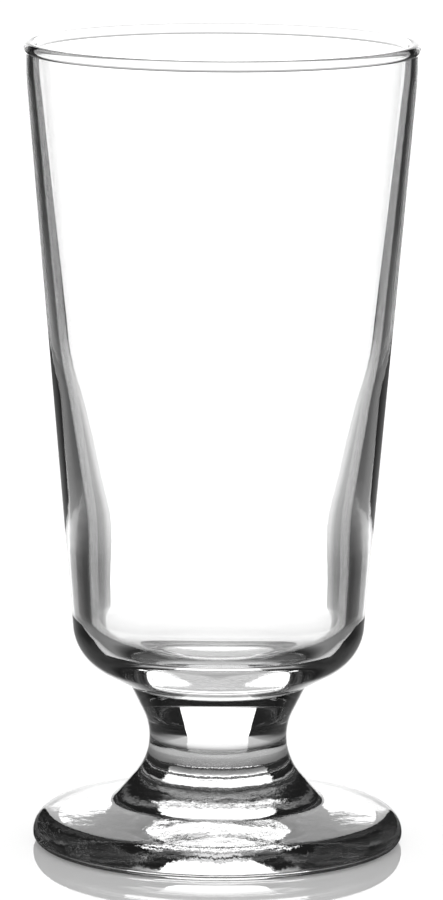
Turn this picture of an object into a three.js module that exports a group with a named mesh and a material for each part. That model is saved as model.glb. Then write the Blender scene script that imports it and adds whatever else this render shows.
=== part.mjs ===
// Footed highball glass: a tapered bowl on a short waisted stem and a round foot, all clear glass.
// Millimetres, +Z up. The origin is the centre of the ring that the foot stands on.

import * as THREE from "three";

// Overall sizes
const totalHeight = 151.5;
const rimDiameter = 73.8;

// Foot
const footDiameter = 69.8;
const footEdgeHeight = 5.3;
const footTopEdgeRound = 4.2;
const footBottomEdgeRound = 1.8;
const bearingRingWidth = 4;
const undersideHollow = 1.4;
const flareDiameter = 39.4;
const flareHeight = 8.2;
const flareRound = 3;

// Stem
const neckDiameter = 26;
const neckHeight = 20.2;
const neckCurveRadius = 11.4;
const collarDiameter = 33.4;
const collarHeight = 30.3;
const collarRound = 2;

// Heights of the flat faces where the three pieces are welded
const footWeldHeight = 18.4;
const bowlWeldHeight = 28.6;

// Bowl outside
const shoulderDiameter = 54.1;
const shoulderHeight = 35.9;
const shoulderRound = 10;
const lipHeight = 5.5;
const lipRound = 30;
const rimBead = 0.4;

// Bowl inside, as wall thicknesses at stated heights
const lipWall = 1.4;
const thinWall = 1.95;
const thinWallHeight = 92;
const thinWallRound = 150;
const thickWall = 4.4;
const thickWallHeight = 60;
const thickWallRound = 100;
const baseWall = 3.35;
const floorRound = 7.4;

// Floor of the cavity: a flat middle with a dished border
const floorHeight = 35;
const dishRise = 4.5;
const dishFlatDiameter = 28;
const dishRound = 26;

// Facets: steps in a turn about the axis, and how far a facet may lie inside its arc
const turnSteps = 60;
const facetError = 0.025;

// Margin that keeps a cut inside the outline it cuts
const cutMargin = 1e-6;

/** One corner of an outline: its distance from the axis, its height and the round on it. */
function corner(radius, height, round = 0) {
  return { at: new THREE.Vector2(radius, height), round };
}

/** Points along an arc from one angle to another, both ends included. */
function arcPoints(centre, radius, startAngle, endAngle) {
  const facetAngle = 2 * Math.acos(1 - facetError / radius);
  const steps = Math.max(2, Math.ceil(Math.abs(endAngle - startAngle) / facetAngle));
  const points = [];
  for (let step = 0; step <= steps; step += 1) {
    const angle = THREE.MathUtils.lerp(startAngle, endAngle, step / steps);
    const spoke = new THREE.Vector2(Math.cos(angle), Math.sin(angle));
    points.push(spoke.multiplyScalar(radius).add(centre));
  }
  return points;
}

/** Half of the angle between the two runs that meet at a corner. */
function halfAngleAt(last, here, next) {
  const toLast = last.at.clone().sub(here.at);
  const toNext = next.at.clone().sub(here.at);
  return Math.acos(toLast.dot(toNext) / (toLast.length() * toNext.length())) / 2;
}

/** How far each corner's round reaches along its runs, drawn in where two rounds share a short run. */
function roundReaches(corners) {
  const wanted = corners.map((here, index) => {
    const isEnd = index === 0 || index === corners.length - 1;
    return isEnd ? 0 : here.round / Math.tan(halfAngleAt(corners[index - 1], here, corners[index + 1]));
  });
  const share = (index) => {
    const run = corners[index].at.distanceTo(corners[index + 1].at);
    return Math.min(1, run / (wanted[index] + wanted[index + 1]));
  };
  return wanted.map((reach, index) => (reach === 0 ? 0 : reach * Math.min(share(index - 1), share(index))));
}

/** The arc that rounds a corner, from the run before it to the run after it. */
function roundedCorner(last, here, next, reach) {
  const halfAngle = halfAngleAt(last, here, next);
  const radius = reach * Math.tan(halfAngle);
  const toLast = last.at.clone().sub(here.at).normalize();
  const toNext = next.at.clone().sub(here.at).normalize();
  const inward = toLast.clone().add(toNext).normalize();
  const centre = here.at.clone().addScaledVector(inward, radius / Math.sin(halfAngle));
  const startAngle = here.at.clone().addScaledVector(toLast, reach).sub(centre).angle();
  const endAngle = here.at.clone().addScaledVector(toNext, reach).sub(centre).angle();
  const turn = THREE.MathUtils.euclideanModulo(endAngle - startAngle + Math.PI, 2 * Math.PI) - Math.PI;
  return arcPoints(centre, radius, startAngle, startAngle + turn);
}

/** An outline of straight runs whose inner corners are rounded. */
function outline(corners) {
  const reaches = roundReaches(corners);
  return corners.flatMap((here, index) => {
    if (reaches[index] === 0) {
      return [here.at];
    }
    return roundedCorner(corners[index - 1], here, corners[index + 1], reaches[index]);
  });
}

/** The angle about a circle's centre at which a line from an outside point touches the circle. */
function touchAngle(from, centre, radius, side) {
  const offset = from.clone().sub(centre);
  return offset.angle() + side * Math.acos(radius / offset.length());
}

/** The part of a rising outline between two heights, cut exactly at both. */
function stretch(points, lowest, highest) {
  const cutAt = (height) => {
    const above = points.findIndex((point) => point.y > height);
    const low = points[above - 1];
    const high = points[above];
    return low.clone().lerp(high, (height - low.y) / (high.y - low.y)).setY(height);
  };
  const between = points.filter((point) => point.y > lowest && point.y < highest);
  return [cutAt(lowest), ...between, cutAt(highest)];
}

/** Places on the axis, where an outline starts and ends. */
function onAxis(height) {
  return new THREE.Vector2(0, height);
}

// The rim bead: a full round, proud of the lip on both sides
const rimRadius = rimDiameter / 2;
const lipRadius = rimRadius - rimBead;
const beadRadius = lipWall / 2 + rimBead;
const beadCentre = new THREE.Vector2(rimRadius - beadRadius, totalHeight - beadRadius);
const beadOpening = Math.acos(lipWall / 2 / beadRadius);
const beadFootHeight = beadCentre.y - beadRadius * Math.sin(beadOpening);
const lipFootHeight = totalHeight - lipHeight;

// The outside of the whole glass, rising from the bearing ring to the rim bead
const footRadius = footDiameter / 2;
const bearingRadius = footRadius - footBottomEdgeRound;
const flareCorner = corner(flareDiameter / 2, flareHeight, flareRound);
const collarCorner = corner(collarDiameter / 2, collarHeight, collarRound);
const neckCentre = new THREE.Vector2(neckDiameter / 2 + neckCurveRadius, neckHeight);
const neckStart = touchAngle(flareCorner.at, neckCentre, neckCurveRadius, -1);
const neckEnd = touchAngle(collarCorner.at, neckCentre, neckCurveRadius, 1);
const neckArc = arcPoints(neckCentre, neckCurveRadius, neckStart, neckEnd);

const footSide = outline([
  corner(bearingRadius - bearingRingWidth, 0),
  corner(footRadius, 0, footBottomEdgeRound),
  corner(footRadius, footEdgeHeight, footTopEdgeRound),
  flareCorner,
  { at: neckArc[0], round: 0 },
]);
const bowlSide = outline([
  { at: neckArc[neckArc.length - 1], round: 0 },
  collarCorner,
  corner(shoulderDiameter / 2, shoulderHeight, shoulderRound),
  corner(lipRadius, lipFootHeight, lipRound),
  corner(lipRadius, beadFootHeight),
]);
const wholeSide = [...footSide, ...neckArc.slice(1, -1), ...bowlSide];

/** Radius of the bowl's tapered outer wall at a height. */
function wallRadius(height) {
  const rise = (height - shoulderHeight) / (lipFootHeight - shoulderHeight);
  return THREE.MathUtils.lerp(shoulderDiameter / 2, lipRadius, rise);
}

/** The bowl: outside, over the rim bead, and down the inside to the floor of the cavity. */
function bowlOutline() {
  const outside = stretch(wholeSide, bowlWeldHeight, beadFootHeight - cutMargin);
  const bead = arcPoints(beadCentre, beadRadius, -beadOpening, Math.PI + beadOpening);
  const inside = outline([
    corner(lipRadius - lipWall, beadFootHeight),
    corner(lipRadius - lipWall, lipFootHeight, lipRound),
    corner(wallRadius(thinWallHeight) - thinWall, thinWallHeight, thinWallRound),
    corner(wallRadius(thickWallHeight) - thickWall, thickWallHeight, thickWallRound),
    corner(shoulderDiameter / 2 - baseWall, floorHeight + dishRise, floorRound),
    corner(dishFlatDiameter / 2, floorHeight, dishRound),
    corner(0, floorHeight),
  ]);
  return [onAxis(bowlWeldHeight), ...outside.slice(0, -1), ...bead, ...inside.slice(1)];
}

/** The stem: the waisted stretch between the two weld faces, solid to the axis. */
function stemOutline() {
  const side = stretch(wholeSide, footWeldHeight, bowlWeldHeight);
  return [onAxis(footWeldHeight), ...side, onAxis(bowlWeldHeight)];
}

/** The foot: a shallow hollow underside, the bearing ring, the rounded edge and the flared top. */
function footOutline() {
  const hollowRadius = bearingRadius - bearingRingWidth;
  const sphereRadius = (hollowRadius ** 2 + undersideHollow ** 2) / (2 * undersideHollow);
  const sphereCentre = new THREE.Vector2(0, undersideHollow - sphereRadius);
  const hollowEdgeAngle = Math.asin(-sphereCentre.y / sphereRadius);
  const hollow = arcPoints(sphereCentre, sphereRadius, Math.PI / 2, hollowEdgeAngle);
  const flank = stretch(wholeSide, 0, footWeldHeight);
  return [onAxis(undersideHollow), ...hollow.slice(1, -1), wholeSide[0], ...flank, onAxis(footWeldHeight)];
}

/** Turns an outline about the axis into a named clear glass piece. */
function glassPiece(name, points) {
  const geometry = new THREE.LatheGeometry(points, turnSteps);
  geometry.rotateX(Math.PI / 2);
  const material = new THREE.MeshStandardMaterial({
    color: 0xf4f6f6,
    roughness: 0.03,
    metalness: 0,
    transparent: true,
    opacity: 0.35,
  });
  const mesh = new THREE.Mesh(geometry, material);
  mesh.name = name;
  return mesh;
}

const highballGlass = new THREE.Group();
highballGlass.add(glassPiece("bowl", bowlOutline()));
highballGlass.add(glassPiece("stem", stemOutline()));
highballGlass.add(glassPiece("foot", footOutline()));

export default highballGlass;
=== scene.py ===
"""A clear footed highball glass, dressed for its studio picture.

The glass is three pieces that were fused while hot: a tapered bowl, a short waisted stem and a round
foot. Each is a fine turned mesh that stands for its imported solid. All three share one outer side, and
their smooth normals run on over the weld rings, so that the glass bends light as one body. Sizes are
in metres.
"""

import logging
import math
from abc import ABC, abstractmethod
from dataclasses import dataclass, field
from enum import Enum, IntEnum
from typing import ClassVar, Sequence

import bpy
import numpy as np
from mathutils import Euler, Matrix, Vector


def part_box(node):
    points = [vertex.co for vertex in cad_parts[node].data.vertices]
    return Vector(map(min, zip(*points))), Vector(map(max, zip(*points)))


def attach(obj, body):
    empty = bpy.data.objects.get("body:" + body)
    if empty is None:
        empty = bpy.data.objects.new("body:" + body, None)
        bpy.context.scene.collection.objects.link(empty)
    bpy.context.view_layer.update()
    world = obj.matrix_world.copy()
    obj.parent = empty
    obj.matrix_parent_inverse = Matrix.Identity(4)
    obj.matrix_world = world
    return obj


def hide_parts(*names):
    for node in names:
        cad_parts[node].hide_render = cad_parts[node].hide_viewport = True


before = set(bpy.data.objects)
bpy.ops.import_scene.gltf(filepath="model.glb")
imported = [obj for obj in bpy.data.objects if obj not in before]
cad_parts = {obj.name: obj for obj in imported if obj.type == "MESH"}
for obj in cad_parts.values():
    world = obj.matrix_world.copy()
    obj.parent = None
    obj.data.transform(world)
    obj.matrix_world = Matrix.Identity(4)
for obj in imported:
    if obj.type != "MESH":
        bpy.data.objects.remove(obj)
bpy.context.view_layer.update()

LOG = logging.getLogger("highball_glass")

MM = 0.001
TINY = 1e-7
FEWEST_ARC_STEPS = 4
UP = (0.0, 0.0, 1.0)

Points = list[np.ndarray]
Stops = tuple[tuple[float, float], ...]


# Outlines

@dataclass(frozen=True)
class Corner:
    """One corner of a side outline.

    Attributes:
        radius: Distance from the axis.
        height: Height above the table.
        rounding: Radius of the round on the corner, or 0 for a sharp one.
    """

    radius: float
    height: float
    rounding: float = 0.0

    @property
    def at(self) -> np.ndarray:
        """The corner as a point."""
        return np.array((self.radius, self.height))


def arc_points(centre: np.ndarray, radius: float, start: float, end: float, bend: float) -> Points:
    """Points along an arc, both ends included.

    Args:
        centre: Middle of the arc's circle.
        radius: Radius of the circle.
        start: Angle of the first point.
        end: Angle of the last point.
        bend: Largest angle between two points.

    Returns:
        The points in order.
    """
    steps = max(FEWEST_ARC_STEPS, math.ceil(abs(end - start) / bend))
    angles = np.linspace(start, end, steps + 1)
    return [centre + radius * np.array((math.cos(a), math.sin(a))) for a in angles]


def angle_of(vector: np.ndarray) -> float:
    """The angle of a vector in the outline's plane."""
    return math.atan2(vector[1], vector[0])


def half_angle(last: Corner, here: Corner, following: Corner) -> float:
    """Half of the angle between the two runs that meet at a corner.

    Args:
        last: The corner before.
        here: The corner itself.
        following: The corner after.

    Returns:
        The half angle.
    """
    back = last.at - here.at
    ahead = following.at - here.at
    cosine = back @ ahead / (np.linalg.norm(back) * np.linalg.norm(ahead))
    return math.acos(max(-1.0, min(1.0, cosine))) / 2


def rounded(corners: Sequence[Corner], bend: float) -> Points:
    """An outline of straight runs whose inner corners are rounded.

    Args:
        corners: The corners in order; the first and last stay sharp.
        bend: Largest angle between two points of a round.

    Returns:
        The points of the outline.
    """
    reach = [0.0] * len(corners)
    for i in range(1, len(corners) - 1):
        reach[i] = corners[i].rounding / math.tan(half_angle(*corners[i - 1:i + 2]))
    share = []
    for i in range(len(corners) - 1):
        run = float(np.linalg.norm(corners[i + 1].at - corners[i].at))
        share.append(min(1.0, run / max(reach[i] + reach[i + 1], TINY)))
    points = [corners[0].at]
    for i in range(1, len(corners) - 1):
        length = reach[i] * min(share[i - 1], share[i])
        if length == 0.0:
            points.append(corners[i].at)
            continue
        points.extend(corner_round(corners[i - 1], corners[i], corners[i + 1], length, bend))
    points.append(corners[-1].at)
    return points


def corner_round(last: Corner, here: Corner, following: Corner, length: float, bend: float) -> Points:
    """The arc that rounds one corner.

    Args:
        last: The corner before.
        here: The corner itself.
        following: The corner after.
        length: How far the round reaches along both runs.
        bend: Largest angle between two points.

    Returns:
        The points of the arc.
    """
    half = half_angle(last, here, following)
    back = (last.at - here.at) / np.linalg.norm(last.at - here.at)
    ahead = (following.at - here.at) / np.linalg.norm(following.at - here.at)
    inward = (back + ahead) / np.linalg.norm(back + ahead)
    radius = length * math.tan(half)
    centre = here.at + inward * radius / math.sin(half)
    start = angle_of(here.at + back * length - centre)
    end = angle_of(here.at + ahead * length - centre)
    turn = (end - start + math.pi) % (2 * math.pi) - math.pi
    return arc_points(centre, radius, start, start + turn, bend)


def closely_spaced(points: Sequence[np.ndarray], step: float) -> Points:
    """Adds points along the long runs of an outline.

    Args:
        points: The outline.
        step: Greatest distance between neighbours.

    Returns:
        The outline with the added points.
    """
    out = [points[0]]
    for a, b in zip(points[:-1], points[1:]):
        distance = float(np.linalg.norm(b - a))
        if distance < TINY:
            continue
        count = max(1, math.ceil(distance / step))
        out.extend(a + (b - a) * k / count for k in range(1, count + 1))
    return out


def cut_at(points: Sequence[np.ndarray], height: float) -> np.ndarray:
    """The point of a rising outline at a height.

    Args:
        points: The outline.
        height: Where it is cut.

    Returns:
        The point on the cut.
    """
    above = next(i for i, p in enumerate(points) if p[1] >= height and i > 0)
    low, high = points[above - 1], points[above]
    return low + (high - low) * (height - low[1]) / (high[1] - low[1])


def stretch(points: Sequence[np.ndarray], lowest: float, highest: float) -> Points:
    """The part of a rising outline between two heights, cut exactly at both.

    Args:
        points: The outline.
        lowest: Height of the lower cut.
        highest: Height of the upper cut.

    Returns:
        The points between the cuts, with the cuts.
    """
    between = [p for p in points if lowest + TINY < p[1] < highest - TINY]
    return [cut_at(points, lowest), *between, cut_at(points, highest)]


@dataclass
class GlassSide:
    """The outer side of the whole glass, from the ring it stands on up to the rim bead.

    Attributes:
        total_height: Height of the whole glass.
        rim_radius: Radius over the rim bead.
        foot_radius: Radius of the foot.
        foot_edge_height: Height of the foot's edge before it is rounded.
        foot_top_edge_round: Round on top of the edge.
        foot_bottom_edge_round: Round under the edge.
        bearing_ring_width: Width of the flat ring that the foot stands on.
        flare_radius: Radius where the top of the foot turns up into the stem.
        flare_height: Height of that turn.
        flare_round: Round in that turn.
        neck_radius: Radius of the narrowest place.
        neck_height: Height of the narrowest place.
        neck_curve_radius: Radius of the hollow curve round the neck.
        collar_radius: Radius of the crease under the bowl.
        collar_height: Height of the crease.
        collar_round: Round in the crease.
        shoulder_radius: Radius of the bowl's lower corner.
        shoulder_height: Height of that corner.
        shoulder_round: Round on that corner.
        lip_height: Height of the straight lip with its bead.
        lip_round: Round where the tapered wall turns into the lip.
        lip_wall: Thickness of the lip.
        rim_bead: How far the bead stands out on both sides of the lip.
        bend: Largest angle between two points of a round.
        step: Greatest distance between two points.
    """

    total_height: float
    rim_radius: float = 36.9 * MM
    foot_radius: float = 34.9 * MM
    foot_edge_height: float = 5.3 * MM
    foot_top_edge_round: float = 4.2 * MM
    foot_bottom_edge_round: float = 1.8 * MM
    bearing_ring_width: float = 4.0 * MM
    flare_radius: float = 19.7 * MM
    flare_height: float = 8.2 * MM
    flare_round: float = 3.0 * MM
    neck_radius: float = 13.0 * MM
    neck_height: float = 20.2 * MM
    neck_curve_radius: float = 11.4 * MM
    collar_radius: float = 16.7 * MM
    collar_height: float = 30.3 * MM
    collar_round: float = 0.8 * MM
    shoulder_radius: float = 27.05 * MM
    shoulder_height: float = 35.9 * MM
    shoulder_round: float = 10.0 * MM
    lip_height: float = 5.5 * MM
    lip_round: float = 30.0 * MM
    lip_wall: float = 1.4 * MM
    rim_bead: float = 0.4 * MM
    bend: float = math.radians(2.0)
    step: float = 1.0 * MM

    @property
    def lip_radius(self) -> float:
        """Outer radius of the straight lip under the bead."""
        return self.rim_radius - self.rim_bead

    @property
    def lip_foot(self) -> float:
        """Height where the straight lip starts."""
        return self.total_height - self.lip_height

    @property
    def bead_radius(self) -> float:
        """Radius of the rim bead's round section."""
        return self.lip_wall / 2 + self.rim_bead

    @property
    def bead_centre(self) -> np.ndarray:
        """Middle of the rim bead's round section."""
        return np.array((self.rim_radius - self.bead_radius, self.total_height - self.bead_radius))

    @property
    def bead_opening(self) -> float:
        """Angle below the level at which the bead leaves the lip."""
        return math.acos(self.lip_wall / 2 / self.bead_radius)

    @property
    def bead_foot(self) -> float:
        """Height where the bead leaves the lip."""
        return float(self.bead_centre[1]) - self.bead_radius * math.sin(self.bead_opening)

    @property
    def bearing_radius(self) -> float:
        """Outer radius of the flat ring that the foot stands on."""
        return self.foot_radius - self.foot_bottom_edge_round

    @property
    def neck_centre(self) -> np.ndarray:
        """Middle of the circle that hollows the stem."""
        return np.array((self.neck_radius + self.neck_curve_radius, self.neck_height))

    def wall_radius(self, height: float) -> float:
        """Radius of the bowl's tapered wall at a height."""
        rise = (height - self.shoulder_height) / (self.lip_foot - self.shoulder_height)
        return self.shoulder_radius + (self.lip_radius - self.shoulder_radius) * rise

    def neck_touch(self, point: np.ndarray, turn: int) -> float:
        """The angle on the neck's circle where a line from a point touches it.

        Args:
            point: Where the line comes from.
            turn: 1 to look for the touch anticlockwise, -1 for clockwise.

        Returns:
            The angle about the middle of the neck's circle.
        """
        offset = point - self.neck_centre
        reach = math.acos(self.neck_curve_radius / float(np.linalg.norm(offset)))
        return angle_of(offset) % (2 * math.pi) + turn * reach

    def points(self) -> Points:
        """The whole outer side, rising from the foot.

        Returns:
            The points of the outline, closely spaced.
        """
        flare = Corner(self.flare_radius, self.flare_height, self.flare_round)
        collar = Corner(self.collar_radius, self.collar_height, self.collar_round)
        start = self.neck_touch(flare.at, -1)
        end = self.neck_touch(collar.at, 1)
        neck = arc_points(self.neck_centre, self.neck_curve_radius, start, end, self.bend)
        foot = rounded([
            Corner(self.bearing_radius - self.bearing_ring_width, 0.0),
            Corner(self.foot_radius, 0.0, self.foot_bottom_edge_round),
            Corner(self.foot_radius, self.foot_edge_height, self.foot_top_edge_round),
            flare,
            Corner(*neck[0]),
        ], self.bend)
        bowl = rounded([
            Corner(*neck[-1]),
            collar,
            Corner(self.shoulder_radius, self.shoulder_height, self.shoulder_round),
            Corner(self.lip_radius, self.lip_foot, self.lip_round),
            Corner(self.lip_radius, self.bead_foot),
        ], self.bend)
        return closely_spaced([*foot, *neck[1:-1], *bowl], self.step)


# Turned meshes

class Face(IntEnum):
    """Which material slot a stretch of a piece wears."""

    POLISHED = 0
    WELD = 1


@dataclass
class Band:
    """A smooth stretch of a turned outline.

    Attributes:
        rows: Points (radius, height) in order.
        before: The row that the surface comes from, where it runs on smoothly at the start.
        after: The row that the surface goes to, where it runs on smoothly at the end.
        face: What the band wears.
    """

    rows: Points
    before: np.ndarray | None = None
    after: np.ndarray | None = None
    face: Face = Face.POLISHED

    def normals(self, angles: np.ndarray) -> np.ndarray:
        """Outward normals of the rows, smooth along the band and across its marked ends.

        Args:
            angles: The angles of a turn.

        Returns:
            A unit vector for each row and angle.
        """
        rows = list(self.rows)
        if self.before is not None:
            rows.insert(0, self.before)
        if self.after is not None:
            rows.append(self.after)
        along = np.diff(turned_grid(np.array(rows), angles), axis=0)
        round_about = np.stack((-np.sin(angles), np.cos(angles), np.zeros_like(angles)), axis=-1)
        facets = np.cross(round_about[None], along)
        facets /= np.linalg.norm(facets, axis=-1, keepdims=True)
        joined = np.concatenate((facets[:1], facets[:-1] + facets[1:], facets[-1:]))
        joined /= np.linalg.norm(joined, axis=-1, keepdims=True)
        first = int(self.before is not None)
        return joined[first:first + len(self.rows)]


def turned_grid(rows: np.ndarray, angles: np.ndarray) -> np.ndarray:
    """Positions of every row of an outline at every angle of a turn.

    Args:
        rows: Points (radius, height).
        angles: The angles of a turn.

    Returns:
        A point for each row and angle.
    """
    x = rows[:, :1] * np.cos(angles)
    y = rows[:, :1] * np.sin(angles)
    z = np.repeat(rows[:, 1:], len(angles), axis=1)
    return np.stack((x, y, z), axis=-1)


@dataclass
class Lathe:
    """Turns bands of an outline about the axis into one closed mesh.

    Attributes:
        segments: Steps in a turn.
        positions: The points of the mesh.
        faces: The points round each face.
        normals: The normal at each corner of each face.
        wears: The material slot of each face.
        last_ring: The points of the ring that the next band starts on.
    """

    segments: int
    positions: list[tuple[float, ...]] = field(default_factory=list)
    faces: list[tuple[int, ...]] = field(default_factory=list)
    normals: list[tuple[float, ...]] = field(default_factory=list)
    wears: list[int] = field(default_factory=list)
    last_ring: list[int] = field(default_factory=list)

    @property
    def angles(self) -> np.ndarray:
        """The angles of a turn."""
        return np.linspace(0.0, 2 * math.pi, self.segments, endpoint=False)

    def ring(self, points: np.ndarray, radius: float) -> list[int]:
        """Adds one ring of points, or a single point on the axis.

        Args:
            points: The ring's points.
            radius: The ring's radius.

        Returns:
            The index of each point round the ring.
        """
        start = len(self.positions)
        if radius < TINY:
            self.positions.append(tuple(points[0]))
            return [start] * self.segments
        self.positions.extend(map(tuple, points))
        return list(range(start, start + self.segments))

    def add(self, band: Band) -> None:
        """Turns one more band, which starts on the last ring of the band before it.

        Args:
            band: The band to turn.
        """
        grid = turned_grid(np.array(band.rows), self.angles)
        outward = band.normals(self.angles)
        rings = [self.last_ring or self.ring(grid[0], band.rows[0][0])]
        rings.extend(self.ring(grid[i], band.rows[i][0]) for i in range(1, len(band.rows)))
        self.last_ring = rings[-1]
        for i in range(len(rings) - 1):
            for j in range(self.segments):
                k = (j + 1) % self.segments
                corners = [(i, j), (i, k), (i + 1, k), (i + 1, j)]
                if rings[i][j] == rings[i][k]:
                    corners.pop(0)
                elif rings[i + 1][j] == rings[i + 1][k]:
                    corners.pop(3)
                self.faces.append(tuple(rings[row][turn] for row, turn in corners))
                self.normals.extend(tuple(outward[row][turn]) for row, turn in corners)
                self.wears.append(int(band.face))

    def mesh(self, name: str) -> bpy.types.Mesh:
        """The finished mesh, with smooth normals inside each band.

        Args:
            name: Name of the mesh.

        Returns:
            The new mesh.
        """
        mesh = bpy.data.meshes.new(name)
        mesh.from_pydata(self.positions, [], self.faces)
        mesh.polygons.foreach_set("material_index", self.wears)
        mesh.shade_smooth()
        mesh.normals_split_custom_set(self.normals)
        mesh.update()
        return mesh


def place(name: str, mesh: bpy.types.Mesh) -> bpy.types.Object:
    """Adds a mesh to the scene as a new object.

    Args:
        name: Name of the object.
        mesh: The mesh that it shows.

    Returns:
        The new object.
    """
    piece = bpy.data.objects.new(name, mesh)
    bpy.context.scene.collection.objects.link(piece)
    return piece


# Node trees

Socket = bpy.types.NodeSocket
Value = Socket | float

HALF_BOUNCE = 0.5
BOWL_SURFACES = 4.0


def grey(level: float) -> tuple[float, float, float, float]:
    """An even grey as a colour."""
    return (level, level, level, 1.0)


@dataclass(frozen=True)
class NodeSheet:
    """A node tree, with short ways to add nodes and join them.

    Attributes:
        tree: The tree itself.
    """

    tree: bpy.types.NodeTree

    def add(self, kind: str, **settings: object) -> bpy.types.Node:
        """Adds a node.

        Args:
            kind: The node's type.
            settings: Properties to set on it.

        Returns:
            The new node.
        """
        node = self.tree.nodes.new(kind)
        for name, value in settings.items():
            setattr(node, name, value)
        return node

    def feed(self, socket: Socket, value: Value) -> None:
        """Links a socket to another, or sets it to a number.

        Args:
            socket: The socket that takes the value.
            value: The other socket or the number.
        """
        if isinstance(value, Socket):
            self.tree.links.new(value, socket)
        else:
            socket.default_value = value

    def maths(self, operation: str, *values: Value) -> Socket:
        """The result of a sum on numbers or sockets.

        Args:
            operation: Name of the sum.
            values: What goes into it.

        Returns:
            The result.
        """
        node = self.add("ShaderNodeMath", operation=operation)
        for socket, value in zip(node.inputs, values):
            self.feed(socket, value)
        return node.outputs[0]

    def along(self, spot: Socket, direction: Sequence[float]) -> Socket:
        """How far a place lies along a direction.

        Args:
            spot: The place.
            direction: The direction, of length 1.

        Returns:
            The distance.
        """
        node = self.add("ShaderNodeVectorMath", operation="DOT_PRODUCT")
        node.inputs[1].default_value = tuple(direction)
        self.feed(node.inputs[0], spot)
        return node.outputs["Value"]

    def ramp(self, value: Socket, stops: Stops) -> Socket:
        """A level that runs in straight lines from stop to stop.

        Args:
            value: What is measured, from 0 to 1.
            stops: Pairs of a place and the level there.

        Returns:
            The level.
        """
        node = self.add("ShaderNodeValToRGB")
        elements = node.color_ramp.elements
        while len(elements) < len(stops):
            elements.new(0.5)
        for element, (at, level) in zip(elements, stops):
            element.position = at
            element.color = grey(level)
        self.feed(node.inputs[0], value)
        return node.outputs["Color"]

    def blend(self, share: Socket, first: Socket, second: Socket) -> Socket:
        """Mixes two shaders.

        Args:
            share: Share of the second one.
            first: The shader at a share of 0.
            second: The shader at a share of 1.

        Returns:
            The mixed shader.
        """
        node = self.add("ShaderNodeMixShader")
        for socket, value in zip(node.inputs, (share, first, second)):
            self.feed(socket, value)
        return node.outputs["Shader"]

    def through_glass(self) -> Socket:
        """Finds what is seen through the glass or mirrored in it, but not what the table mirrors.

        Returns:
            1 where it is seen so, else 0. The glass mirrors sharply and the table does not quite.
        """
        path = self.add("ShaderNodeLightPath")
        sharp = self.maths("MULTIPLY", path.outputs["Is Glossy Ray"], path.outputs["Is Singular Ray"])
        return self.maths("MAXIMUM", path.outputs["Is Transmission Ray"], sharp)

    def unmirrored(self) -> Socket:
        """1 where light came straight through the glass with no mirroring on the way, else 0."""
        path = self.add("ShaderNodeLightPath")
        return self.maths("LESS_THAN", path.outputs["Glossy Depth"], HALF_BOUNCE)

    def in_table(self) -> Socket:
        """Finds what the table mirrors of a thing behind the bowl.

        Returns:
            1 where light was mirrored once and crossed the bowl's two walls, else 0.
        """
        path = self.add("ShaderNodeLightPath")
        once = self.maths("COMPARE", path.outputs["Glossy Depth"], 1.0, HALF_BOUNCE)
        walls = self.maths("COMPARE", path.outputs["Transmission Depth"], BOWL_SURFACES, HALF_BOUNCE)
        return self.maths("MULTIPLY", once, walls)


def bare_material(name: str) -> tuple[bpy.types.Material, NodeSheet, Socket]:
    """A new material that has no shader yet.

    Args:
        name: Name of the material.

    Returns:
        The material, its node sheet and the socket that its surface goes into.
    """
    material = bpy.data.materials.new(name)
    material.use_nodes = True
    tree = material.node_tree
    tree.nodes.remove(tree.nodes["Principled BSDF"])
    return material, NodeSheet(tree), tree.nodes["Material Output"].inputs["Surface"]


# Finishes of the glass

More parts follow.
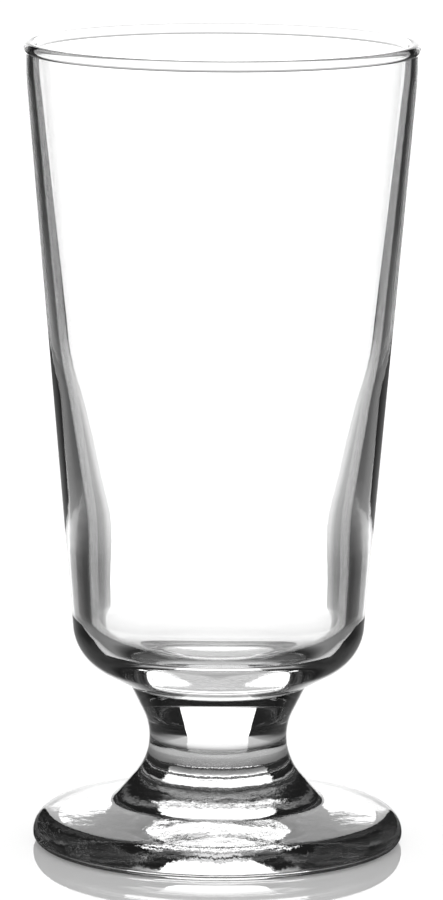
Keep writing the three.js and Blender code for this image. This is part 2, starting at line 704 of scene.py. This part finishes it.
class MouldMarks:
    """The faint marks that the mould and the flame leave in glass, as one shared node group.

    It puts out a height for the bump, which is slow waves with fine grain on them, and a tint that
    drifts a little through the metal of the glass.

    Attributes:
        name: Name of the group.
        inputs: Names of the sizes that it is given.
        wave_detail: How many finer layers the waves have.
        grain_detail: How many finer layers the grain has.
        greyest: Tint where the glass is greyest.
        clearest: Tint where it is clearest.
    """

    name: ClassVar[str] = "mould_marks"
    inputs: ClassVar[tuple[str, ...]] = ("Wave Size", "Wave Depth", "Grain Size", "Grain Depth")
    wave_detail: ClassVar[float] = 1.0
    grain_detail: ClassVar[float] = 3.0
    greyest: ClassVar[float] = 0.985
    clearest: ClassVar[float] = 0.995

    @classmethod
    def group(cls) -> bpy.types.ShaderNodeTree:
        """The group, built the first time that it is asked for."""
        found = bpy.data.node_groups.get(cls.name)
        return found or cls.build()

    @classmethod
    def build(cls) -> bpy.types.ShaderNodeTree:
        """Builds the group.

        Returns:
            The new node group.
        """
        tree = bpy.data.node_groups.new(cls.name, "ShaderNodeTree")
        for name in cls.inputs:
            tree.interface.new_socket(name, in_out="INPUT", socket_type="NodeSocketFloat")
        tree.interface.new_socket("Height", in_out="OUTPUT", socket_type="NodeSocketFloat")
        tree.interface.new_socket("Tint", in_out="OUTPUT", socket_type="NodeSocketColor")
        sheet = NodeSheet(tree)
        given = sheet.add("NodeGroupInput").outputs
        where = sheet.add("ShaderNodeTexCoord").outputs["Object"]
        waves = cls.noise(sheet, where, given["Wave Size"], cls.wave_detail)
        grain = cls.noise(sheet, where, given["Grain Size"], cls.grain_detail)
        height = sheet.maths(
            "ADD",
            sheet.maths("MULTIPLY", waves, given["Wave Depth"]),
            sheet.maths("MULTIPLY", grain, given["Grain Depth"]),
        )
        tint = sheet.add("ShaderNodeMix", data_type="RGBA")
        tint.inputs["A"].default_value = grey(cls.greyest)
        tint.inputs["B"].default_value = grey(cls.clearest)
        sheet.feed(tint.inputs["Factor"], waves)
        put_out = sheet.add("NodeGroupOutput").inputs
        sheet.feed(put_out["Height"], height)
        sheet.feed(put_out["Tint"], tint.outputs["Result"])
        return tree

    @staticmethod
    def noise(sheet: NodeSheet, where: Socket, size: Socket, detail: float) -> Socket:
        """Noise whose lumps are about as wide as a size.

        Args:
            sheet: The tree to add it to.
            where: Place on the piece.
            size: Width of a lump.
            detail: How many finer layers it has.

        Returns:
            The noise, from 0 to 1.
        """
        node = sheet.add("ShaderNodeTexNoise")
        node.inputs["Detail"].default_value = detail
        sheet.feed(node.inputs["Vector"], where)
        sheet.feed(node.inputs["Scale"], sheet.maths("DIVIDE", 1.0, size))
        return node.outputs["Fac"]


@dataclass(frozen=True)
class ClearGlass:
    """Clear soda glass with a fire-polished skin.

    Attributes:
        name: Name of the material.
        index: Refractive index.
        wave_size: Width of the slow waves that the mould leaves.
        wave_depth: Depth of those waves.
        grain_size: Width of the fine grain.
        grain_depth: Depth of the grain.
    """

    name: str
    index: float = 1.52
    wave_size: float = 14.0 * MM
    wave_depth: float = 0.004 * MM
    grain_size: float = 1.5 * MM
    grain_depth: float = 0.0

    def material(self) -> bpy.types.Material:
        """The glass material.

        Returns:
            The new material.
        """
        material = bpy.data.materials.new(self.name)
        material.use_nodes = True
        sheet = NodeSheet(material.node_tree)
        shader = material.node_tree.nodes["Principled BSDF"]
        shader.inputs["Roughness"].default_value = 0.0
        shader.inputs["IOR"].default_value = self.index
        shader.inputs["Transmission Weight"].default_value = 1.0
        marks = sheet.add("ShaderNodeGroup", node_tree=MouldMarks.group())
        depths = (self.wave_size, self.wave_depth, self.grain_size, self.grain_depth)
        for name, value in zip(MouldMarks.inputs, depths):
            marks.inputs[name].default_value = value
        bump = sheet.add("ShaderNodeBump")
        bump.inputs["Strength"].default_value = 1.0
        bump.inputs["Distance"].default_value = 1.0
        sheet.feed(bump.inputs["Height"], marks.outputs["Height"])
        sheet.feed(shader.inputs["Normal"], bump.outputs["Normal"])
        sheet.feed(shader.inputs["Base Color"], marks.outputs["Tint"])
        return material


@dataclass(frozen=True)
class WeldFace:
    """The fused joint inside the glass, which light crosses unchanged.

    Attributes:
        name: Name of the material.
    """

    name: str = "weld_face"

    def material(self) -> bpy.types.Material:
        """The see-through material.

        Returns:
            The new material.
        """
        material = bpy.data.materials.new(self.name)
        material.use_nodes = True
        material.node_tree.nodes["Principled BSDF"].inputs["Alpha"].default_value = 0.0
        return material


# Pieces of the glass

@dataclass
class GlassPiece(ABC):
    """One turned piece of the glass.

    Attributes:
        side: The outer side that all the pieces share.
        finish: The glass that it is made of.
        node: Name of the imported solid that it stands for.
        segments: Steps in a turn.
    """

    side: GlassSide
    finish: ClearGlass
    node: ClassVar[str]
    segments: ClassVar[int] = 256

    @abstractmethod
    def bands(self) -> list[Band]:
        """The smooth stretches of the piece's outline, in order."""

    def build(self, weld: bpy.types.Material) -> bpy.types.Object:
        """Builds the piece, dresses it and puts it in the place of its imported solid.

        Args:
            weld: What the hidden weld faces wear.

        Returns:
            The new object.
        """
        lathe = Lathe(self.segments)
        for band in self.bands():
            lathe.add(band)
        name = f"clear_{self.node}"
        piece = place(name, lathe.mesh(name))
        piece.data.materials.append(self.finish.material())
        piece.data.materials.append(weld)
        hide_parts(self.node)
        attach(piece, "root")
        return piece


@dataclass
class Bowl(GlassPiece):
    """The tapered bowl, whose wall thickens down to a solid base with a dished floor.

    Attributes:
        weld_height: Height of the weld face under the base.
        thin_wall: Thickness of the upper wall.
        thin_wall_height: Height where the wall is that thick.
        thin_wall_round: Round in the inner side there.
        thick_wall: Thickness of the lower wall.
        thick_wall_height: Height where the wall is that thick.
        thick_wall_round: Round in the inner side there.
        base_wall: Thickness of the wall beside the floor.
        floor_round: Round between the wall and the floor.
        floor_height: Height of the middle of the floor.
        dish_rise: How far the border of the floor rises.
        dish_flat_radius: Radius of the flat middle.
        dish_round: Round where the border starts to rise.
        bead_bend: Largest angle between two points of the rim bead.
    """

    weld_height: float
    thin_wall: float = 1.95 * MM
    thin_wall_height: float = 92.0 * MM
    thin_wall_round: float = 150.0 * MM
    thick_wall: float = 4.4 * MM
    thick_wall_height: float = 60.0 * MM
    thick_wall_round: float = 100.0 * MM
    base_wall: float = 3.35 * MM
    floor_round: float = 7.4 * MM
    floor_height: float = 35.0 * MM
    dish_rise: float = 4.5 * MM
    dish_flat_radius: float = 14.0 * MM
    dish_round: float = 26.0 * MM
    bead_bend: float = math.radians(6.0)
    node: ClassVar[str] = "bowl"

    def inside(self) -> Points:
        """The inner side, from the bead down to the middle of the floor.

        Returns:
            The points of the outline.
        """
        side = self.side
        lip = side.lip_radius - side.lip_wall
        thin = side.wall_radius(self.thin_wall_height) - self.thin_wall
        thick = side.wall_radius(self.thick_wall_height) - self.thick_wall
        base = side.shoulder_radius - self.base_wall
        points = rounded([
            Corner(lip, side.bead_foot),
            Corner(lip, side.lip_foot, side.lip_round),
            Corner(thin, self.thin_wall_height, self.thin_wall_round),
            Corner(thick, self.thick_wall_height, self.thick_wall_round),
            Corner(base, self.floor_height + self.dish_rise, self.floor_round),
            Corner(self.dish_flat_radius, self.floor_height, self.dish_round),
            Corner(0.0, self.floor_height),
        ], side.bend)
        return closely_spaced(points, side.step)

    def bands(self) -> list[Band]:
        """The smooth stretches of the bowl.

        Returns:
            The weld face, the outside, the rim bead and the inside.
        """
        side = self.side
        points = side.points()
        outside = stretch(points, self.weld_height, side.bead_foot)
        below = [p for p in points if p[1] < self.weld_height - TINY][-1]
        turn = (-side.bead_opening, math.pi + side.bead_opening)
        bead = arc_points(side.bead_centre, side.bead_radius, *turn, self.bead_bend)
        inside = self.inside()
        bead[0] = outside[-1]
        bead[-1] = inside[0]
        return [
            Band([np.array((0.0, self.weld_height)), outside[0]], face=Face.WELD),
            Band(outside, before=below),
            Band(bead),
            Band(inside),
        ]


@dataclass
class Stem(GlassPiece):
    """The short waisted stem between the two weld faces, solid to the axis.

    Attributes:
        foot_weld_height: Height of the weld face on the foot.
        bowl_weld_height: Height of the weld face under the bowl.
    """

    foot_weld_height: float
    bowl_weld_height: float
    node: ClassVar[str] = "stem"

    def bands(self) -> list[Band]:
        """The smooth stretches of the stem.

        Returns:
            The lower weld face, the waisted flank and the upper weld face.
        """
        low, high = self.foot_weld_height, self.bowl_weld_height
        points = self.side.points()
        flank = stretch(points, low, high)
        below = [p for p in points if p[1] < low - TINY][-1]
        above = [p for p in points if p[1] > high + TINY][0]
        return [
            Band([np.array((0.0, low)), flank[0]], face=Face.WELD),
            Band(flank, before=below, after=above),
            Band([flank[-1], np.array((0.0, high))], face=Face.WELD),
        ]


@dataclass
class Foot(GlassPiece):
    """The round foot: a shallow hollow underneath, a ring to stand on and a flared top.

    Attributes:
        weld_height: Height of the weld face under the stem.
        underside_hollow: Depth of the hollow underneath.
        hollow_bend: Largest angle between two points of the hollow.
    """

    weld_height: float
    underside_hollow: float = 1.4 * MM
    hollow_bend: float = math.radians(0.2)
    node: ClassVar[str] = "foot"

    def hollow(self, edge: np.ndarray) -> Points:
        """The hollow underside, from the axis out to its edge.

        Args:
            edge: Where the hollow meets the ring that the foot stands on.

        Returns:
            The points of the hollow.
        """
        depth = self.underside_hollow
        sphere = (edge[0] ** 2 + depth ** 2) / (2 * depth)
        centre = np.array((0.0, depth - sphere))
        end = math.asin((sphere - depth) / sphere)
        points = arc_points(centre, sphere, math.pi / 2, end, self.hollow_bend)
        points[0] = np.array((0.0, depth))
        points[-1] = edge
        return closely_spaced(points, self.side.step)

    def bands(self) -> list[Band]:
        """The smooth stretches of the foot.

        Returns:
            The hollow underside, the flank and the weld face.
        """
        points = self.side.points()
        flank = [p for p in points if p[1] < self.weld_height - TINY]
        flank.append(cut_at(points, self.weld_height))
        above = [p for p in points if p[1] > self.weld_height + TINY][0]
        return [
            Band(self.hollow(flank[0])),
            Band(flank, after=above),
            Band([flank[-1], np.array((0.0, self.weld_height))], face=Face.WELD),
        ]


# The studio

class Heading(Enum):
    """The directions that the studio is set up to be looked at along, in degrees."""

    PICTURE = 315.0
    FACING = 135.0
    LEFT = 180.0
    RIGHT = 90.0

    @property
    def forward(self) -> Vector:
        """The level direction itself."""
        angle = math.radians(self.value)
        return Vector((math.cos(angle), math.sin(angle), 0.0))

    @property
    def aside(self) -> Vector:
        """The level direction across it."""
        return Vector((-self.forward.y, self.forward.x, 0.0))


@dataclass(frozen=True)
class GlowCard:
    """A lit white card that stands on the table behind the glass and is seen only in the glass.

    Attributes:
        heading: Direction in which it stands.
        glow: How bright it is by height, where 1 is white.
        distance: How far behind the axis it stands.
        foot_half_width: Half of its width at the table.
        top_half_width: Half of its width at the top.
        height: Its height.
        sink: How far it reaches below the table top.
    """

    heading: Heading
    glow: Stops = ((0.0, 1.6), (0.18, 1.6), (0.24, 0.7), (0.34, 0.3))
    distance: float = 250.0 * MM
    foot_half_width: float = 76.0 * MM
    top_half_width: float = 108.0 * MM
    height: float = 340.0 * MM
    sink: float = 0.1 * MM

    @property
    def name(self) -> str:
        """Name of the card and of its finish."""
        return f"card_{self.heading.name.lower()}"

    def material(self) -> bpy.types.Material:
        """The shining finish of the card.

        Returns:
            The new material.
        """
        material, sheet, surface = bare_material(self.name)
        height = sheet.along(sheet.add("ShaderNodeNewGeometry").outputs["Position"], UP)
        lamp = sheet.add("ShaderNodeEmission")
        sheet.feed(lamp.inputs["Strength"], sheet.ramp(height, self.glow))
        seen = sheet.through_glass()
        if self.heading is not Heading.PICTURE:
            seen = sheet.maths("MULTIPLY", seen, sheet.unmirrored())
        clear = sheet.add("ShaderNodeBsdfTransparent")
        sheet.feed(surface, sheet.blend(seen, clear.outputs["BSDF"], lamp.outputs["Emission"]))
        return material

    def build(self) -> bpy.types.Object:
        """Stands the card on the table.

        Returns:
            The new object.
        """
        middle = self.heading.forward * self.distance
        foot_half = self.heading.aside * self.foot_half_width
        top_half = self.heading.aside * self.top_half_width
        low = middle + Vector((0.0, 0.0, -self.sink))
        high = middle + Vector((0.0, 0.0, self.height))
        mesh = bpy.data.meshes.new(self.name)
        corners = [low - foot_half, low + foot_half, high + top_half, high - top_half]
        mesh.from_pydata(corners, [], [(0, 1, 2, 3)])
        mesh.materials.append(self.material())
        card = place(self.name, mesh)
        card.visible_camera = False
        card.visible_diffuse = False
        card.visible_shadow = False
        return card


@dataclass(frozen=True)
class PaleTable:
    """The glossy white table.

    Seen by the eye it is white and keeps the glass's real shadow. Seen in glass it glows with painted
    light
    and shade: grey, with a painted shadow round the foot and a painted pool of light in front of each
    card.

    Attributes:
        headings: The directions that have a painted pool of light.
        colour: Level of the matt white.
        lift: Glow added to the white for the eye.
        index: Refractive index of the gloss.
        gain: How much stronger the gloss is to the eye.
        most_gloss: Greatest share of light that the gloss mirrors.
        blur: Roughness of the gloss to the eye.
        under: Painted shade and light seen in glass by distance from the axis, darkest round the foot.
        pool: Levels of the painted pool of light, by distance along the heading.
        spread: Share of the painted pool's light, by distance sideways over distance from where it fans
            out.
        fan_start: How far in front of the axis the painted pool fans out from.
        half_width: Half of the table's width.
        drop: How far the table top lies under the foot.
    """

    headings: Sequence[Heading]
    colour: float = 0.95
    lift: float = 0.25
    index: float = 1.9
    gain: float = 1.65
    most_gloss: float = 0.55
    blur: float = 0.03
    under: Stops = (
        (0.0, 0.5), (0.014, 0.6), (0.022, 0.1), (0.030, 0.1), (0.036, 0.02), (0.040, 0.02),
        (0.052, 0.288), (0.12, 0.22), (0.2, 0.13), (0.3, 0.09), (0.6, 0.05),
    )
    pool: Stops = (
        (0.045, 0.0), (0.065, 0.5), (0.15, 1.0), (0.2, 1.4), (0.26, 1.4), (0.46, 0.6), (0.56, 0.0),
    )
    spread: Stops = (
        (0.0, 1.0), (0.25, 1.0), (0.27, 0.75), (0.29, 0.5), (0.35, 0.36), (0.42, 0.26), (0.5, 0.18),
        (0.57, 0.09), (0.65, 0.04), (0.8, 0.0),
    )
    fan_start: float = 75.0 * MM
    half_width: float = 8.0
    drop: float = 0.1 * MM

    def painted_light_and_shade(self, sheet: NodeSheet) -> Socket:
        """The painted light and shade of the table when it is seen in glass.

        Args:
            sheet: The material's node tree.

        Returns:
            The level.
        """
        spot = sheet.add("ShaderNodeNewGeometry").outputs["Position"]
        length = sheet.add("ShaderNodeVectorMath", operation="LENGTH")
        sheet.feed(length.inputs[0], spot)
        # Painted shade and light: seen in glass, the table is dark round the foot and lighter under its
        # middle, set by distance from the axis and not by any lamp.
        level = sheet.ramp(length.outputs["Value"], self.under)
        for heading in self.headings:
            depth = sheet.along(spot, heading.forward)
            across = sheet.maths("ABSOLUTE", sheet.along(spot, heading.aside))
            aside = sheet.maths("DIVIDE", across, sheet.maths("ADD", depth, self.fan_start))
            share = sheet.ramp(aside, self.spread)
            if heading is not Heading.PICTURE:
                share = sheet.maths("MULTIPLY", share, sheet.unmirrored())
            # Painted pool of light on the table in front of each card, which the cards do not really
            # cast.
            level = sheet.maths("MULTIPLY_ADD", share, sheet.ramp(depth, self.pool), level)
        return level

    def material(self) -> bpy.types.Material:
        """The table's finish, with painted light and shade where it is seen in glass.

        Returns:
            The new material.
        """
        material, sheet, surface = bare_material("pale_table")
        matt = sheet.add("ShaderNodeBsdfDiffuse")
        matt.inputs["Color"].default_value = grey(self.colour)
        lift = sheet.add("ShaderNodeEmission")
        lift.inputs["Strength"].default_value = self.lift
        white = sheet.add("ShaderNodeAddShader")
        sheet.feed(white.inputs[0], matt.outputs["BSDF"])
        sheet.feed(white.inputs[1], lift.outputs["Emission"])
        # Painted light and shade: seen in glass, the table is an emission set by place, not lit by
        # lamps.
        painted_glow = sheet.add("ShaderNodeEmission")
        sheet.feed(painted_glow.inputs["Strength"], self.painted_light_and_shade(sheet))
        seen = sheet.through_glass()
        body = sheet.blend(seen, white.outputs["Shader"], painted_glow.outputs["Emission"])
        gloss = sheet.add("ShaderNodeBsdfGlossy")
        gloss.inputs["Color"].default_value = grey(1.0)
        sheet.feed(gloss.inputs["Roughness"], sheet.maths("MULTIPLY_ADD", seen, -self.blur, self.blur))
        fresnel = sheet.add("ShaderNodeFresnel")
        fresnel.inputs["IOR"].default_value = self.index
        gain = sheet.maths("MULTIPLY_ADD", seen, 1.0 - self.gain, self.gain)
        mirrored = sheet.maths("MULTIPLY", fresnel.outputs["Fac"], gain)
        share = sheet.maths("MINIMUM", mirrored, self.most_gloss)
        sheet.feed(surface, sheet.blend(share, body, gloss.outputs["BSDF"]))
        return material

    def build(self) -> bpy.types.Object:
        """Lays the table under the glass.

        Returns:
            The new object.
        """
        half = self.half_width
        mesh = bpy.data.meshes.new("table")
        corners = [(-half, -half), (half, -half), (half, half), (-half, half)]
        mesh.from_pydata([(x, y, -self.drop) for x, y in corners], [], [(0, 1, 2, 3)])
        mesh.materials.append(self.material())
        table = place("table", mesh)
        return table


@dataclass(frozen=True)
class StudioRoom:
    """The room round the table: white to the eye, dark in glass but for a strip and the ceiling.

    Attributes:
        headings: The directions that have a strip.
        white: Level that the eye sees and that lights the table.
        dark: Level of the rest of the room, seen in glass.
        strip: Level of the bright strip along each heading.
        strip_half_width: Half of the strip's width, as the sine of its angle.
        strip_height: Height of the strip, as the sine of its angle.
        ceiling: Level of the ceiling.
        ceiling_edge: Height where the ceiling starts, in degrees.
    """

    headings: Sequence[Heading]
    white: float = 1.0
    dark: float = 0.012
    strip: float = 1.1
    strip_half_width: float = 0.07
    strip_height: float = 0.24
    ceiling: float = 0.8
    ceiling_edge: float = 68.0

    def in_glass(self, sheet: NodeSheet) -> Socket:
        """How bright the room is when it is seen in glass.

        Args:
            sheet: The world's node tree.

        Returns:
            The level.
        """
        ray = sheet.add("ShaderNodeTexCoord").outputs["Generated"]
        rise = sheet.along(ray, UP)
        low = sheet.maths("LESS_THAN", rise, self.strip_height)
        top = sheet.maths("GREATER_THAN", rise, math.sin(math.radians(self.ceiling_edge)))
        level = sheet.maths("MULTIPLY_ADD", top, self.ceiling, self.dark)
        for heading in self.headings:
            ahead = sheet.maths("GREATER_THAN", sheet.along(ray, heading.forward), 0.0)
            across = sheet.maths("ABSOLUTE", sheet.along(ray, heading.aside))
            narrow = sheet.maths("LESS_THAN", across, self.strip_half_width)
            seen = sheet.maths("MULTIPLY", sheet.maths("MULTIPLY", ahead, narrow), low)
            if heading is not Heading.PICTURE:
                seen = sheet.maths("MULTIPLY", seen, sheet.in_table())
            level = sheet.maths("MULTIPLY_ADD", seen, self.strip, level)
        return level

    def build(self) -> None:
        """Makes the room the scene's world."""
        world = bpy.data.worlds.new("studio")
        bpy.context.scene.world = world
        world.use_nodes = True
        sheet = NodeSheet(world.node_tree)
        back = world.node_tree.nodes["Background"]
        back.inputs["Color"].default_value = grey(1.0)
        level = sheet.add("ShaderNodeMix", data_type="FLOAT")
        level.inputs["A"].default_value = self.white
        sheet.feed(level.inputs["Factor"], sheet.through_glass())
        sheet.feed(level.inputs["B"], self.in_glass(sheet))
        sheet.feed(back.inputs["Strength"], level.outputs["Result"])


@dataclass(frozen=True)
class PictureCamera:
    """The camera, set where the photograph was taken from.

    Attributes:
        focal: Focal length, in pixels of the picture.
        tall: Height of the picture, in pixels.
        shift: How far it looks aside of the axis, in pixels.
        distance: Level distance from the axis.
        height: Height above the table.
        pitch: How far it looks down, in degrees.
        roll: How far it leans, in degrees.
        sensor: Long side of the sensor, in camera millimetres.
    """

    focal: float = 6132.0
    tall: float = 900.0
    shift: float = -1.8
    distance: float = 1.134
    height: float = 0.2633
    pitch: float = 9.44
    roll: float = 0.36
    sensor: float = 36.0

    def build(self, heading: Heading) -> None:
        """Adds the camera and makes it the scene's own.

        Args:
            heading: The direction that it looks along.
        """
        data = bpy.data.cameras.new("camera")
        data.sensor_fit = "AUTO"
        data.sensor_width = self.sensor
        data.lens = self.focal / self.tall * self.sensor
        camera = bpy.data.objects.new("camera", data)
        bpy.context.scene.collection.objects.link(camera)
        camera.location = Vector((0.0, 0.0, self.height)) - heading.forward * self.distance
        tilt = math.pi / 2 - math.radians(self.pitch)
        turn = math.radians(heading.value) - math.pi / 2 + self.shift / self.focal
        aim = Euler((tilt, 0.0, turn)).to_matrix()
        camera.rotation_euler = (aim @ Matrix.Rotation(math.radians(self.roll), 3, "Z")).to_euler()
        bpy.context.scene.camera = camera


@dataclass(frozen=True)
class LightPaths:
    """How far light is followed through the glass.

    Attributes:
        surfaces: How many glass surfaces it may cross.
        mirrorings: How often it may be mirrored.
    """

    surfaces: int = 32
    mirrorings: int = 16

    def apply(self, scene: bpy.types.Scene) -> None:
        """Sets the paths, and keeps colours as they are written.

        Args:
            scene: The scene to set.
        """
        scene.view_settings.view_transform = "Standard"
        scene.cycles.max_bounces = self.surfaces
        scene.cycles.transmission_bounces = self.surfaces
        scene.cycles.glossy_bounces = self.mirrorings


def main() -> None:
    """Builds and dresses the glass, then sets up the studio round it."""
    logging.basicConfig(level=logging.INFO)
    bowl_low, bowl_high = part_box("bowl")
    stem_low, stem_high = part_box("stem")
    foot_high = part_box("foot")[1]
    side = GlassSide(total_height=bowl_high[2])
    blown = ClearGlass("blown_glass")
    pressed = ClearGlass(
        "pressed_glass",
        wave_size=5.0 * MM,
        wave_depth=0.07 * MM,
        grain_size=1.0 * MM,
        grain_depth=0.02 * MM,
    )
    weld = WeldFace().material()
    pieces: list[GlassPiece] = [
        Bowl(side, blown, bowl_low[2]),
        Stem(side, blown, stem_low[2], stem_high[2]),
        Foot(side, pressed, foot_high[2]),
    ]
    for piece in pieces:
        built = piece.build(weld)
        LOG.info("%s: %d faces", built.name, len(built.data.polygons))
    headings = tuple(Heading)
    for heading in headings:
        card = GlowCard(heading)
        card.build()
        LOG.info("%s: %.0f mm behind the glass", card.name, card.distance / MM)
    table = PaleTable(headings).build()
    LOG.info("%s: laid under the glass", table.name)
    StudioRoom(headings).build()
    PictureCamera().build(Heading.PICTURE)
    LightPaths().apply(bpy.context.scene)
    LOG.info("room and camera: set up")


if __name__ == "__main__":
    main()
